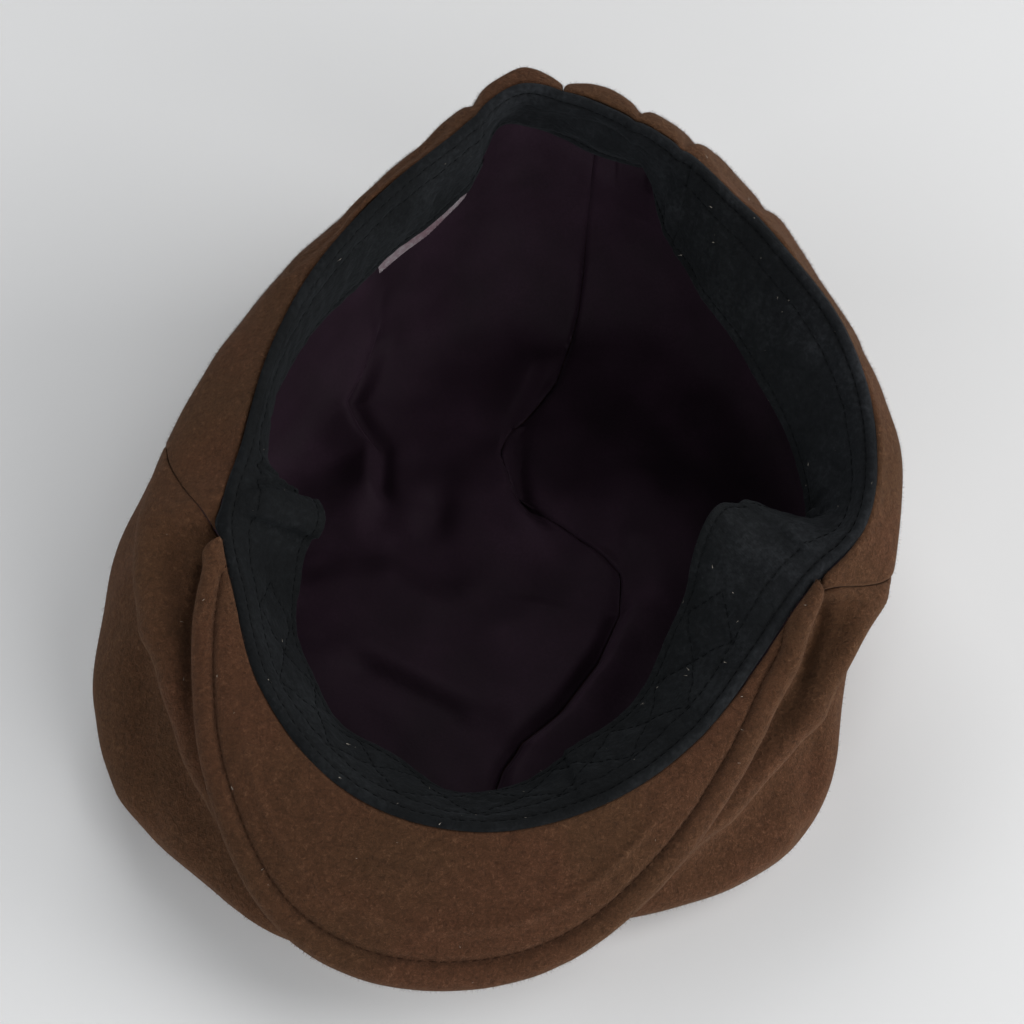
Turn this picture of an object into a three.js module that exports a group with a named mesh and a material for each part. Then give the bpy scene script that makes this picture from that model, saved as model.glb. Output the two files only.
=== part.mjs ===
// A brown wool flat cap, lying upside down on its crown with the opening up, in millimetres, +Z up.
// The peak points along -Y and the crown rests on the ground at z = 0.
// The cap is sewn from a top panel, two side panels and a covered peak. Inside are a black sweatband
// with an elastic length at the back, a lining in two halves and a blank woven label.
import * as THREE from 'three';

// Cloth thicknesses, and the clearances that keep neighbouring pieces apart.
const WOOL = 2.2;
const LINING = 1.0;
const BAND = 1.3;
const PEAK = 4.4;
const LABEL = 1.0;
const SEAM_GAP = 0.8;
const BAND_GAP = 0.5;
const LINING_GAP = 2.1;

// The wool starts just outside the opening's edge, and lower in front, where the peak lies on it.
const WOOL_SETBACK = 2.6;
const PEAK_STACK = 7.8;

// Cuts through the cap at bearings around the opening: 0 is the front, 90 is +X and 180 the back.
// edge is the opening, shoulder the roll outside it, waist the hollow below the roll, belly the fullest
// part of the crown and foot where it meets the ground. R is a distance from the middle, Z a height.
const CUTS = named(
  ['bearing', 'edgeR', 'edgeZ', 'shoulderR', 'shoulderZ', 'waistR', 'waistZ', 'bellyR', 'bellyZ', 'footR'],
  [
    [0, 94, 45, 110, 21, 113, 15, 114, 9, 101],
    [20, 88.5, 47, 103, 25, 102, 17, 104, 10, 92],
    [40, 82, 52, 98, 34, 97, 24, 107.5, 13, 95],
    [58, 77.3, 58, 95, 43, 91, 31, 103.5, 18, 91],
    [74, 79, 64.5, 95.5, 52, 90, 38, 93.5, 23, 80],
    [88, 88.5, 70, 99, 59, 93, 44, 93, 27, 78],
    [104, 91, 77.5, 98.5, 68, 97, 52, 97, 32, 81],
    [122, 91.3, 86, 96.5, 78, 101, 60, 103, 36, 86],
    [140, 90.5, 92.5, 96, 86, 107, 66, 110, 38, 92],
    [160, 97, 99, 103.5, 94, 118, 72, 118, 40, 98],
    [176, 103, 103.5, 111, 99, 125, 76, 122, 41, 101],
    [190, 106, 105, 114.5, 101, 124, 77, 121, 41, 101],
    [202, 93, 101.5, 103, 97, 115, 74, 116, 40, 98],
    [220, 84, 94.5, 91.5, 89, 104, 68, 109, 38, 92],
    [240, 78, 88, 89.5, 82, 98.5, 62, 106, 35, 90],
    [258, 75.3, 81.5, 92.5, 73, 98, 54, 107, 31, 92],
    [274, 75.7, 75, 99, 65, 102, 47, 113, 27, 97],
    [288, 82, 68, 105, 58, 106, 42, 121, 22, 106],
    [302, 83.3, 61.5, 107, 50, 107, 35, 127, 18, 112],
    [318, 89.2, 55, 113, 39, 113, 27, 127.5, 13, 114],
    [340, 95, 47.5, 117, 22, 119, 16, 123, 9, 111],
  ],
);

// The peak's outer edge, from its left end round the front to its right end.
const PEAK_EDGE = named(['bearing', 'radius', 'height'], [
  [-68, 87, 65],
  [-60, 94, 61],
  [-50, 103, 54],
  [-36, 117, 42],
  [-22, 129.5, 30],
  [-12, 132, 24],
  [0, 128, 20.5],
  [12, 121, 22],
  [27, 108.5, 32],
  [40, 98, 42],
  [54, 89.5, 52],
  [69, 84, 62],
]);

// The sweatband hangs from the opening's edge. Its free edge lies inward of that edge and below it,
// and is swept along it, by distances that make the folds at the temples.
const BAND_HANG = named(['bearing', 'inward', 'drop', 'sweep'], [
  [0, 21.5, 22.5, 0],
  [16, 25, 18.5, 0],
  [40, 25.5, 17.5, 0],
  [60, 26.5, 16, 0],
  [70, 28, 11, 6],
  [77, 27, 7, 14],
  [84, 23, 18, 10],
  [92, 14, 27, 3],
  [108, 16, 26.5, 0],
  [124, 18.5, 25, 0],
  [144, 15, 27, 0],
  [160, 9, 29.5, 0],
  [170, -3, 29, 0],
  [180, -9, 26, 0],
  [192, -10, 25.5, 0],
  [200, -6, 30, 0],
  [216, -4, 31, 0],
  [248, -6, 30.5, 0],
  [264, -1, 31, 0],
  [274, 12, 28, 0],
  [283, 26, 12, 2],
  [290, 22, 20, 3],
  [304, 14, 27.5, 0],
  [320, 17, 26, 0],
  [340, 22, 22, 0],
]);

// The side panels are sewn to the top panel along a seam that leaves the opening at a temple and runs
// back round the crown at SEAM_LEVEL. Levels run from 0 at the opening, through 1 at the shoulder,
// 2 at the waist, 3 at the belly and 4 at the foot, to 6 in the middle of the crown.
const SEAM_LEVEL = 2.55;
const RIGHT_SEAM = { temple: 75, shoulder: 84, level: 104 };
const LEFT_SEAM = { temple: 289, shoulder: 273, level: 254 };
const BACK_SEAM = 184;
const MIDDLE = 6;

// The elastic gathers the back of the opening into ripples.
const ELASTIC = { from: 161, to: 197 };
const RIPPLE = { height: 1.6, pitch: 10, from: 158, to: 210 };

const LABEL_PLACE = { from: 202, to: 216, above: 7, below: 6, lean: 3 };

const WOOL_CLOTH = new THREE.MeshStandardMaterial({ color: 0x5b3a28, roughness: 0.95, metalness: 0 });
const BAND_CLOTH = new THREE.MeshStandardMaterial({ color: 0x15191c, roughness: 0.85, metalness: 0 });
const LINING_CLOTH = new THREE.MeshStandardMaterial({ color: 0x24131f, roughness: 0.7, metalness: 0 });
const LABEL_CLOTH = new THREE.MeshStandardMaterial({ color: 0x8c8488, roughness: 0.8, metalness: 0 });

function named(columns, rows) {
  return rows.map((row) => Object.fromEntries(columns.map((column, i) => [column, row[i]])));
}

function wrap(bearing) {
  return THREE.MathUtils.euclideanModulo(bearing, 360);
}

// A smooth curve through one column of a table. A closed table goes on round the circle.
function along(rows, column, bearing, closed = true) {
  const n = rows.length;
  const knot = (i) => {
    const k = closed ? i : THREE.MathUtils.clamp(i, 0, n - 1);
    const turns = Math.floor(k / n);
    const row = rows[k - turns * n];
    return { x: row.bearing + 360 * turns, y: row[column] };
  };
  const x = closed ? wrap(bearing - rows[0].bearing) + rows[0].bearing : bearing;
  let i = 0;
  while (i < n - (closed ? 1 : 2) && knot(i + 1).x <= x) i += 1;
  const [a, b, c, d] = [knot(i - 1), knot(i), knot(i + 1), knot(i + 2)];
  const span = c.x - b.x;
  const t = (x - b.x) / span;
  const slopeB = ((c.y - a.y) / (c.x - a.x)) * span;
  const slopeC = ((d.y - b.y) / (d.x - b.x)) * span;
  const rise = t * t * (3 - 2 * t);
  return b.y * (1 - rise) + c.y * rise + slopeB * t * (1 - t) ** 2 - slopeC * t * t * (1 - t);
}

// The uniform cubic curve between b and c, with their neighbours a and d.
function between(a, b, c, d, t) {
  const bend = (2 * a - 5 * b + 4 * c - d) * t * t;
  const twist = (3 * b - a - 3 * c + d) * t * t * t;
  return 0.5 * (2 * b + (c - a) * t + bend + twist);
}

// 1 where the peak lies on the wool, 0 at the sides and back.
function underPeak(bearing) {
  const b = wrap(bearing + 180) - 180;
  const { smoothstep } = THREE.MathUtils;
  return smoothstep(b, -77, -69) * (1 - smoothstep(b, 70, 77));
}

// The ripples at the back, from 0 to 1.
function ripple(bearing) {
  const b = wrap(bearing);
  const { smoothstep } = THREE.MathUtils;
  const fade = smoothstep(b, RIPPLE.from, RIPPLE.from + 10) * (1 - smoothstep(b, RIPPLE.to - 10, RIPPLE.to));
  return fade * Math.sin(((b - BACK_SEAM) / RIPPLE.pitch) * Math.PI) ** 2;
}

function atBearing(bearing, radius, height) {
  const b = THREE.MathUtils.degToRad(bearing);
  return new THREE.Vector3(Math.sin(b) * radius, -Math.cos(b) * radius, height);
}

// The outside of the crown at a bearing and a level.
function crownSurface(bearing, level) {
  const get = (column) => along(CUTS, column, bearing);
  const foot = get('footR');
  const swell = RIPPLE.height * ripple(bearing);
  const edge = [get('edgeR') + WOOL_SETBACK, get('edgeZ') - PEAK_STACK * underPeak(bearing)];
  const shoulder = [get('shoulderR') + swell, get('shoulderZ') + swell];
  const above = [2 * edge[0] - shoulder[0], 2 * edge[1] - shoulder[1]];
  const profile = [
    above,
    edge,
    shoulder,
    [get('waistR'), get('waistZ')],
    [get('bellyR'), get('bellyZ')],
    [foot, 0],
    [foot / 2, 0],
    [0, 0],
    [-foot / 2, 0],
  ];
  const i = Math.min(Math.floor(level), MIDDLE - 1);
  const [a, b, c, d] = profile.slice(i, i + 4);
  const t = level - i;
  const radius = between(a[0], b[0], c[0], d[0], t);
  const height = between(a[1], b[1], c[1], d[1], t);
  return atBearing(bearing, radius, Math.max(height, 0));
}

// The level of the seam between the top panel and the side panels.
function seamLevel(bearing) {
  const b = wrap(bearing);
  const seam = b < BACK_SEAM ? RIGHT_SEAM : LEFT_SEAM;
  const backward = Math.sign(seam.level - seam.temple);
  const past = backward * (b - seam.temple);
  const toShoulder = backward * (seam.shoulder - seam.temple);
  const toLevel = backward * (seam.level - seam.temple);
  if (past <= 0) return 0;
  if (past < toShoulder) return past / toShoulder;
  const onward = Math.min((past - toShoulder) / (toLevel - toShoulder), 1);
  return 1 + (SEAM_LEVEL - 1) * Math.sin((onward * Math.PI) / 2);
}

// The share of a level that the seam's gap takes on the crown there.
function seamGap(bearing, level) {
  const step = 0.02;
  return (SEAM_GAP * step) / crownSurface(bearing, level).distanceTo(crownSurface(bearing, level + step));
}

// A unit vector out of a surface.
function normalOf(surface, u, v) {
  const step = 1e-3;
  const alongU = surface(u + step, v).sub(surface(u - step, v));
  const alongV = surface(u, Math.min(v + step, 1)).sub(surface(u, Math.max(v - step, 0)));
  return alongV.cross(alongU).normalize();
}

// A closed sheet of cloth. surface(u, v) is its outer face, shift how far below that face the sheet
// starts and thickness how far it goes from there. It has across cells along u and down along v.
// ring joins u = 1 to u = 0, and pole closes v = 1 in one point.
function clothSheet(surface, { across, down, shift = 0, thickness, ring = false, pole = false }) {
  const columns = ring ? across : across + 1;
  const rows = pole ? down : down + 1;
  const layer = rows * columns + (pole ? 1 : 0);
  const positions = [];
  for (const depth of [shift, shift + thickness]) {
    for (let j = 0; j < rows; j += 1) {
      for (let i = 0; i < columns; i += 1) {
        const [u, v] = [i / across, j / down];
        positions.push(...surface(u, v).addScaledVector(normalOf(surface, u, v), -depth).toArray());
      }
    }
    if (pole) positions.push(...surface(0, 1).add(new THREE.Vector3(0, 0, depth)).toArray());
  }
  const at = (i, j, side) => side * layer + (j < rows ? j * columns + (i % columns) : layer - 1);
  const index = [];
  const quad = (a, b, c, d) => {
    if (b !== c) index.push(a, b, c);
    if (c !== d) index.push(a, c, d);
  };
  for (let j = 0; j < down; j += 1) {
    for (let i = 0; i < across; i += 1) {
      quad(at(i, j, 0), at(i, j + 1, 0), at(i + 1, j + 1, 0), at(i + 1, j, 0));
      quad(at(i, j, 1), at(i + 1, j, 1), at(i + 1, j + 1, 1), at(i, j + 1, 1));
    }
    if (!ring) {
      quad(at(0, j, 0), at(0, j, 1), at(0, j + 1, 1), at(0, j + 1, 0));
      quad(at(across, j, 0), at(across, j + 1, 0), at(across, j + 1, 1), at(across, j, 1));
    }
  }
  for (let i = 0; i < across; i += 1) {
    quad(at(i, 0, 0), at(i + 1, 0, 0), at(i + 1, 0, 1), at(i, 0, 1));
    if (!pole) quad(at(i, down, 0), at(i, down, 1), at(i + 1, down, 1), at(i + 1, down, 0));
  }
  const geometry = new THREE.BufferGeometry();
  geometry.setAttribute('position', new THREE.Float32BufferAttribute(positions, 3));
  geometry.setIndex(index);
  return geometry;
}

// The levels from start to the middle of the crown, with fewer rows on the flat part.
function levelDown(start, v) {
  const flatFrom = 4.2;
  const wallShare = 10 / 12;
  if (v < wallShare) return start + (flatFrom - start) * (v / wallShare);
  return flatFrom + (MIDDLE - flatFrom) * ((v - wallShare) / (1 - wallShare));
}

// The top panel: the front under the peak and the whole of the crown that meets the ground.
// Its columns stand closer together at the sides, where the seams run.
function topPanel() {
  const crowding = 12;
  const surface = (u, v) => {
    const bearing = 360 * u + crowding * Math.sin(4 * Math.PI * u);
    const seam = seamLevel(bearing);
    const start = seam > 0 ? seam + seamGap(bearing, seam) : 0;
    return crownSurface(bearing, levelDown(start, v));
  };
  return clothSheet(surface, { across: 66, down: 12, thickness: WOOL, ring: true, pole: true });
}

// A side panel, between its temple and the seam in the middle of the back.
function sidePanel(seam) {
  const backward = Math.sign(seam.level - seam.temple);
  const temple = seam.temple + 1.6 * backward;
  const back = BACK_SEAM - 0.25 * backward;
  const [from, to] = backward > 0 ? [temple, back] : [back, temple];
  const surface = (u, v) => {
    const bearing = from + u * (to - from);
    const end = seamLevel(bearing);
    return crownSurface(bearing, v * (end - seamGap(bearing, end)));
  };
  return clothSheet(surface, { across: 34, down: 8, thickness: WOOL });
}

// Half of the lining, which follows the inside of the wool. side is 1 on +X and -1 on -X.
function liningHalf(side) {
  const start = 0.55;
  const from = side > 0 ? 0 : 180;
  const aside = new THREE.Vector3((side * SEAM_GAP) / 2, 0, 0);
  const surface = (u, v) => crownSurface(from + 180 * u, levelDown(start, v)).add(aside);
  return clothSheet(surface, { across: 20, down: 12, shift: WOOL + LINING_GAP, thickness: LINING, pole: true });
}

// The peak lies on the wool in front, from temple to temple, slightly arched.
function peakPanel() {
  const first = PEAK_EDGE[0].bearing;
  const last = PEAK_EDGE[PEAK_EDGE.length - 1].bearing;
  const arch = 1.5;
  const surface = (u, v) => {
    const bearing = first + u * (last - first);
    const inner = along(CUTS, 'edgeR', bearing) + BAND_GAP;
    const outer = along(PEAK_EDGE, 'radius', bearing, false);
    const top = along(CUTS, 'edgeZ', bearing) - 0.6;
    const bottom = along(PEAK_EDGE, 'height', bearing, false);
    const height = top + v * (bottom - top) + arch * Math.sin(Math.PI * v);
    return atBearing(bearing, inner + v * (outer - inner), height);
  };
  return clothSheet(surface, { across: 32, down: 4, thickness: PEAK });
}

// A length of the sweatband between two bearings.
function bandLength(from, to, across) {
  const bow = 1.2;
  const surface = (u, v) => {
    const bearing = from + u * (to - from);
    const edge = along(CUTS, 'edgeR', bearing);
    const inward = along(BAND_HANG, 'inward', bearing) * v + bow * Math.sin(Math.PI * v);
    const height = along(CUTS, 'edgeZ', bearing) - along(BAND_HANG, 'drop', bearing) * v;
    const sweep = THREE.MathUtils.radToDeg((along(BAND_HANG, 'sweep', bearing) * v) / edge);
    return atBearing(bearing + sweep, edge - inward, height);
  };
  return clothSheet(surface, { across, down: 4, thickness: BAND });
}

// The label is sewn behind the sweatband's free edge, left of the back, and shows below it.
function wovenLabel() {
  const { from, to, above, below, lean } = LABEL_PLACE;
  const clear = LABEL + 2 * BAND_GAP + (lean * above) / (above + below);
  const surface = (u, v) => {
    const bearing = from + u * (to - from);
    const free = along(CUTS, 'edgeZ', bearing) - along(BAND_HANG, 'drop', bearing);
    const radius = along(CUTS, 'edgeR', bearing) - along(BAND_HANG, 'inward', bearing) + clear;
    return atBearing(bearing, radius - lean * v, free + above - v * (above + below));
  };
  return clothSheet(surface, { across: 5, down: 2, thickness: LABEL });
}

function piece(name, geometry, material) {
  const mesh = new THREE.Mesh(geometry, material);
  mesh.name = name;
  return mesh;
}

const bandEnd = BAND_GAP / 2;
const cap = new THREE.Group();
cap.add(
  piece('crown_top', topPanel(), WOOL_CLOTH),
  piece('side_panel_right', sidePanel(RIGHT_SEAM), WOOL_CLOTH),
  piece('side_panel_left', sidePanel(LEFT_SEAM), WOOL_CLOTH),
  piece('peak', peakPanel(), WOOL_CLOTH),
  piece('lining_right', liningHalf(1), LINING_CLOTH),
  piece('lining_left', liningHalf(-1), LINING_CLOTH),
  piece('sweatband', bandLength(ELASTIC.to + bandEnd, ELASTIC.from + 360 - bandEnd, 64), BAND_CLOTH),
  piece('elastic_band', bandLength(ELASTIC.from, ELASTIC.to, 12), BAND_CLOTH),
  piece('label', wovenLabel(), LABEL_CLOTH),
);

// The origin is on the ground under the middle of the cap.
const middle = new THREE.Box3().setFromObject(cap).getCenter(new THREE.Vector3());
cap.position.set(-middle.x, -middle.y, 0);

const part = new THREE.Group();
part.add(cap);

export default part;
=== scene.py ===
# %% [markdown]
# # A brown wool flat cap, lying upside down
#
# The cap is sewn from cloth: a top panel, two side panels, a covered peak, a black sweatband with a
# length of elastic at the back, a lining in two halves and a small blank label. It lies on its crown,
# so we look down into it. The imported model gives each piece's place and size. This lesson makes the
# fine surface of each piece around that frame, then its cloth, its stitches and its nap.

# %% The frame
import math

import bpy
import numpy as np
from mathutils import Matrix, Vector


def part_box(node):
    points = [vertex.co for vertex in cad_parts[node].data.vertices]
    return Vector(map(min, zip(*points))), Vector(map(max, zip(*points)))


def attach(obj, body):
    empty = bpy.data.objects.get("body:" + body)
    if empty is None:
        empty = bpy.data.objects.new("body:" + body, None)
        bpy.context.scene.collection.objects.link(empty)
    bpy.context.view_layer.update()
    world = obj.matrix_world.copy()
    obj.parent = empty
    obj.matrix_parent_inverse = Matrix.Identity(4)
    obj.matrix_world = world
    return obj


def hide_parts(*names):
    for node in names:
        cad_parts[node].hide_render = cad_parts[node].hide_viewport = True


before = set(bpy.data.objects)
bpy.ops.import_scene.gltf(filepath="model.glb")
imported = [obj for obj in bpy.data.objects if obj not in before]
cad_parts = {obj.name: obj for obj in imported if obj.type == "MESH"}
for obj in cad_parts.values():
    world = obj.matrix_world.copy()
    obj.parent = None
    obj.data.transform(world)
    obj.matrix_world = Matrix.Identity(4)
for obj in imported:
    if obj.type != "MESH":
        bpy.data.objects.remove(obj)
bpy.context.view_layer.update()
MM = 0.001
print("the frame holds", sorted(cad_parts))


def put_in(name, data):
    """A new object in the scene."""
    made = bpy.data.objects.new(name, data)
    bpy.context.collection.objects.link(made)
    return made



# %% [markdown]
# ## The cap's shape in numbers
#
# A soft cap has no straight line, but it can be told as cuts through it. At each bearing around the
# opening, a cut runs from the opening's edge over a rolled shoulder and down to the ground. A short
# table holds these cuts, and smooth curves join them. The other way, sculpting by hand, can't be
# repeated or measured. All sizes are in millimetres, and are scaled to metres when a mesh is made.

# %% The cuts, the peak and the sweatband
WOOL = 2.2
BAND = 1.3
PEAK = 4.4
LINING = 0.5
BAND_GAP = 0.5
LINING_DEPTH = 4.9
WOOL_SETBACK = (2.0, 1.3)
SEAM_ROLL = 1.3
PEAK_STACK = 7.8


def named(columns, rows):
    """A table as one array for each named column."""
    return dict(zip(columns.split(), np.array(rows, float).T))


# edge is the opening, shoulder the roll outside it, waist the hollow below the roll, belly the fullest
# part of the crown and foot where it meets the ground. R is a distance from the middle, Z a height.
CUTS = named(
    "bearing edgeR edgeZ shoulderR shoulderZ waistR waistZ bellyR bellyZ footR",
    [
        (0, 94, 45, 110, 21, 113, 15, 114, 9, 101),
        (20, 88.5, 47, 103, 25, 102, 17, 104, 10, 92),
        (40, 82, 52, 98, 34, 97, 24, 107.5, 13, 95),
        (58, 77.3, 58, 95, 43, 91, 31, 103.5, 18, 91),
        (74, 79, 64.5, 95.5, 52, 90, 38, 93.5, 23, 80),
        (88, 88.5, 70, 99, 59, 93, 44, 93, 27, 78),
        (104, 91, 77.5, 98.5, 68, 97, 52, 97, 32, 81),
        (122, 91.3, 86, 96.5, 78, 101, 60, 103, 36, 86),
        (140, 90.5, 92.5, 96, 86, 107, 66, 110, 38, 92),
        (160, 95.8, 98.5, 104, 93.5, 118, 72, 118, 40, 98),
        (176, 101.4, 102.6, 110, 97.8, 125, 76, 122, 41, 101),
        (190, 106, 105, 114.5, 101, 124, 77, 121, 41, 101),
        (202, 93, 101.5, 103, 97, 115, 74, 116, 40, 98),
        (220, 84, 94.5, 91.5, 89, 104, 68, 109, 38, 92),
        (240, 78, 88, 89.5, 82, 98.5, 62, 106, 35, 90),
        (258, 75.3, 81.5, 92.5, 73, 98, 54, 107, 31, 92),
        (274, 75.7, 75, 99, 65, 102, 47, 113, 27, 97),
        (288, 82, 68, 105, 58, 106, 42, 121, 22, 106),
        (302, 83.3, 61.5, 107, 50, 107, 35, 127, 18, 112),
        (318, 89.2, 55, 113, 39, 113, 27, 127.5, 13, 114),
        (340, 95, 47.5, 117, 22, 119, 16, 123, 9, 111),
    ],
)

# The peak's outer edge, from its left end round the front to its right end.
PEAK_EDGE = named(
    "bearing radius height",
    [
        (-67.9, 84.2, 66.3),
        (-67.4, 87.0, 66.1),
        (-66.2, 89.0, 65.5),
        (-64, 90.2, 64),
        (-60, 94, 61),
        (-50, 103, 54),
        (-36, 117, 42),
        (-22, 129.5, 30),
        (-12, 132, 24),
        (0, 128, 20.5),
        (12, 121, 22),
        (27, 108.5, 32),
        (40, 98, 42),
        (54, 89.5, 52),
        (62, 87.2, 57.5),
        (67, 85.2, 61),
        (71, 84.6, 63.2),
        (73.7, 84.0, 64.2),
        (75.2, 82.8, 64.8),
        (75.8, 80.9, 65.1),
    ],
)

# The sweatband's free edge: how far inward of the opening and below it, and how far swept along it.
# The steep changes at 75 and 286 are where it folds at the temples.
BAND_HANG = named(
    "bearing inward drop sweep",
    [
        (0, 21.5, 22.5, 0),
        (16, 25, 18.5, 0),
        (40, 25.5, 17, 2),
        (50, 26.5, 13.5, 5),
        (60, 28.2, 8.5, 9),
        (66, 29.8, 3, 9.5),
        (70, 30.5, 0.5, 12),
        (73, 30.3, -1, 17),
        (75, 28.9, 1.2, 22),
        (77, 26.3, 4.5, 23),
        (79, 22.8, 9.5, 23.5),
        (82, 18.2, 15.5, 22),
        (85, 14, 20.3, 20),
        (88, 13.3, 22.5, 16),
        (92, 13.5, 24, 9),
        (96, 14.5, 25.5, 3),
        (108, 16, 26.5, 0),
        (124, 18.5, 25, 0),
        (144, 15, 27, 0),
        (160, 9, 29.5, 0),
        (166, 1, 29.5, 0),
        (168.5, -4, 25, 0),
        (170.5, -7, 22.5, 0),
        (175, -6.5, 24.5, 0),
        (180, -7, 26, 0),
        (184, -7.5, 24, 0),
        (189, -8, 23, 0),
        (194, -9, 20, 0),
        (197, -6, 24.5, 0),
        (200, -3.5, 29, 0),
        (216, -4, 31, 0),
        (248, -6, 30.5, 0),
        (258, -6, 30.5, 0),
        (266, -3, 30, -2),
        (272, 0.5, 29, -5),
        (276, 5, 28.3, -8),
        (279, 10.5, 27, -10),
        (282, 16, 24.5, -11),
        (284, 20.5, 22, -9),
        (286, 23.5, 19.5, -6.5),
        (288, 21.5, 22, -5.5),
        (290, 19.5, 24, -4),
        (293, 17.4, 25.5, -1),
        (297, 14.6, 27, 2),
        (304, 14, 27.5, 1),
        (320, 17, 26, 0),
        (340, 22, 22, 0),
    ],
)

# The seam between the top panel and the side panels, in bearings and in levels of the cuts.
SEAM_LEVEL = 2.55
RIGHT_SEAM = {"temple": 75, "shoulder": 84, "level": 104}
LEFT_SEAM = {"temple": 289, "shoulder": 273, "level": 254}
BACK_SEAM = 184
ELASTIC = (161, 197)
MIDDLE = 6
print("the opening's girth is about", round(sum(CUTS["edgeR"]) / len(CUTS["edgeR"]) * 2 * math.pi), "mm")

# %% [markdown]
# The elastic pulls the back of the rim together, and the wool there stands up in rounded gathers of
# unequal size with tight valleys between them. A table of how far the wool swells at each bearing
# gives those, and a plain wave would look like a machine's. The deepest valley is the back seam.

# %% The gathers at the back
GATHERS = named(
    "bearing swell",
    [
        (0, 0),
        (120, 0),
        (146, 0),
        (152, -2.6),
        (156, -1.2),
        (160.8, 2.0),
        (162.6, 2.0),
        (163.8, -0.7),
        (165.2, 1.8),
        (168.8, 2.5),
        (171.0, 1.8),
        (172.2, -0.6),
        (173.7, 1.8),
        (177, 3.2),
        (180, 2.4),
        (182.2, 0.5),
        (184.2, -1.4),
        (186, 0.5),
        (187.8, 2.6),
        (190, 4.2),
        (193.4, 3.0),
        (196, 1.6),
        (197.4, -1.3),
        (199, 0.6),
        (201, 1.0),
        (206, 0.2),
        (212, 0.6),
        (220, 0),
        (300, 0),
    ],
)


def smooth(x, low, high):
    """0 below low, 1 above high and a smooth step between."""
    t = np.clip((x - low) / (high - low), 0, 1)
    return t * t * (3 - 2 * t)


def hill(x, width):
    """1 at x = 0, falling off to both sides and nearly 0 at twice the width."""
    return np.exp(-((x / width) ** 2))


def along(table, column, bearing, closed=True):
    """A smooth curve through one column of a table. A closed table goes on round the circle."""
    x, y = table["bearing"], table[column]
    at = np.asarray(bearing, float)
    if closed:
        at = (at - x[0]) % 360 + x[0]
        x = np.concatenate([x[-2:] - 360, x, x[:3] + 360])
        y = np.concatenate([y[-2:], y, y[:3]])
    else:
        x = np.concatenate([x[:1], x, x[-1:]])
        y = np.concatenate([y[:1], y, y[-1:]])
    i = np.clip(np.searchsorted(x, at, side="right") - 1, 1, len(x) - 3)
    span = x[i + 1] - x[i]
    t = (at - x[i]) / span
    slope_here = (y[i + 1] - y[i - 1]) / (x[i + 1] - x[i - 1]) * span
    slope_next = (y[i + 2] - y[i]) / (x[i + 2] - x[i]) * span
    rise = t * t * (3 - 2 * t)
    bend = slope_here * t * (1 - t) ** 2 - slope_next * t * t * (1 - t)
    return y[i] * (1 - rise) + y[i + 1] * rise + bend


def between(a, b, c, d, t):
    """The uniform cubic curve between b and c, with their neighbours a and d."""
    bend = (2 * a - 5 * b + 4 * c - d) * t * t
    twist = (3 * b - a - 3 * c + d) * t * t * t
    return 0.5 * (2 * b + (c - a) * t + bend + twist)


# %% [markdown]
# Two functions now give any point of the cap. `crown` takes a bearing and a level: 0 is the edge, 1 the
# shoulder, 2 the waist, 3 the belly, 4 the foot and 6 the middle of the crown. `rim` is the opening's
# edge, which waves a little with the gathers.

# %% The crown as a surface
def under_peak(bearing):
    """1 where the peak lies on the wool, 0 at the sides and back."""
    b = (np.asarray(bearing) + 180) % 360 - 180
    return smooth(b, -76, -70) * (1 - smooth(b, 73, 78))


def at_bearing(bearing, radius, height):
    b = np.radians(bearing)
    return np.stack([np.sin(b) * radius, -np.cos(b) * radius, height + 0 * b], -1)


def rim(bearing):
    """The radius of the opening."""
    wave = 0.25
    return along(CUTS, "edgeR", bearing) + wave * (along(GATHERS, "swell", bearing))


def crown(bearing, level):
    """The outside of the crown, before its small dents."""
    bearing, level = np.broadcast_arrays(np.asarray(bearing, float), np.asarray(level, float))
    get = {column: along(CUTS, column, bearing) for column in CUTS}
    swell = along(GATHERS, "swell", bearing)
    below = 0.5 * swell
    hangs_in = smooth(along(BAND_HANG, "inward", bearing), 0, 12)
    edge_r = rim(bearing) + WOOL_SETBACK[0] + (WOOL_SETBACK[1] - WOOL_SETBACK[0]) * hangs_in
    edge_z = get["edgeZ"] - PEAK_STACK * under_peak(bearing)
    shoulder_r = get["shoulderR"] + 0.75 * swell
    shoulder_z = get["shoulderZ"] + 0.35 * swell
    flat = 0 * edge_r
    radii = [2 * edge_r - shoulder_r, edge_r, shoulder_r, get["waistR"] + below, get["bellyR"]]
    radii += [get["footR"], get["footR"] / 2, flat, -get["footR"] / 2]
    heights = [2 * edge_z - shoulder_z, edge_z, shoulder_z, get["waistZ"], get["bellyZ"]]
    heights += [flat, flat, flat, flat]
    i = np.minimum(np.floor(level).astype(int), MIDDLE - 1)
    t = level - i

    def curve(values):
        rows = np.stack(values, -1)
        four = [np.take_along_axis(rows, (i + k)[..., None], -1)[..., 0] for k in range(4)]
        return between(*four, t)

    return at_bearing(bearing, curve(radii), np.maximum(curve(heights), 0))


def seam_level(bearing):
    """The level of the seam between the top panel and the side panels."""
    b = np.asarray(bearing, float) % 360
    levels = np.zeros_like(b)
    for seam, side in ((RIGHT_SEAM, b < BACK_SEAM), (LEFT_SEAM, b >= BACK_SEAM)):
        backward = np.sign(seam["level"] - seam["temple"])
        past = backward * (b - seam["temple"])
        to_shoulder = abs(seam["shoulder"] - seam["temple"])
        to_level = abs(seam["level"] - seam["temple"])
        onward = np.clip((past - to_shoulder) / (to_level - to_shoulder), 0, 1)
        high = 1 + (SEAM_LEVEL - 1) * np.sin(onward * math.pi / 2)
        low = np.clip(past / to_shoulder, 0, 1)
        levels = np.where(side, np.where(past < to_shoulder, low, high), levels)
    return levels


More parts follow.
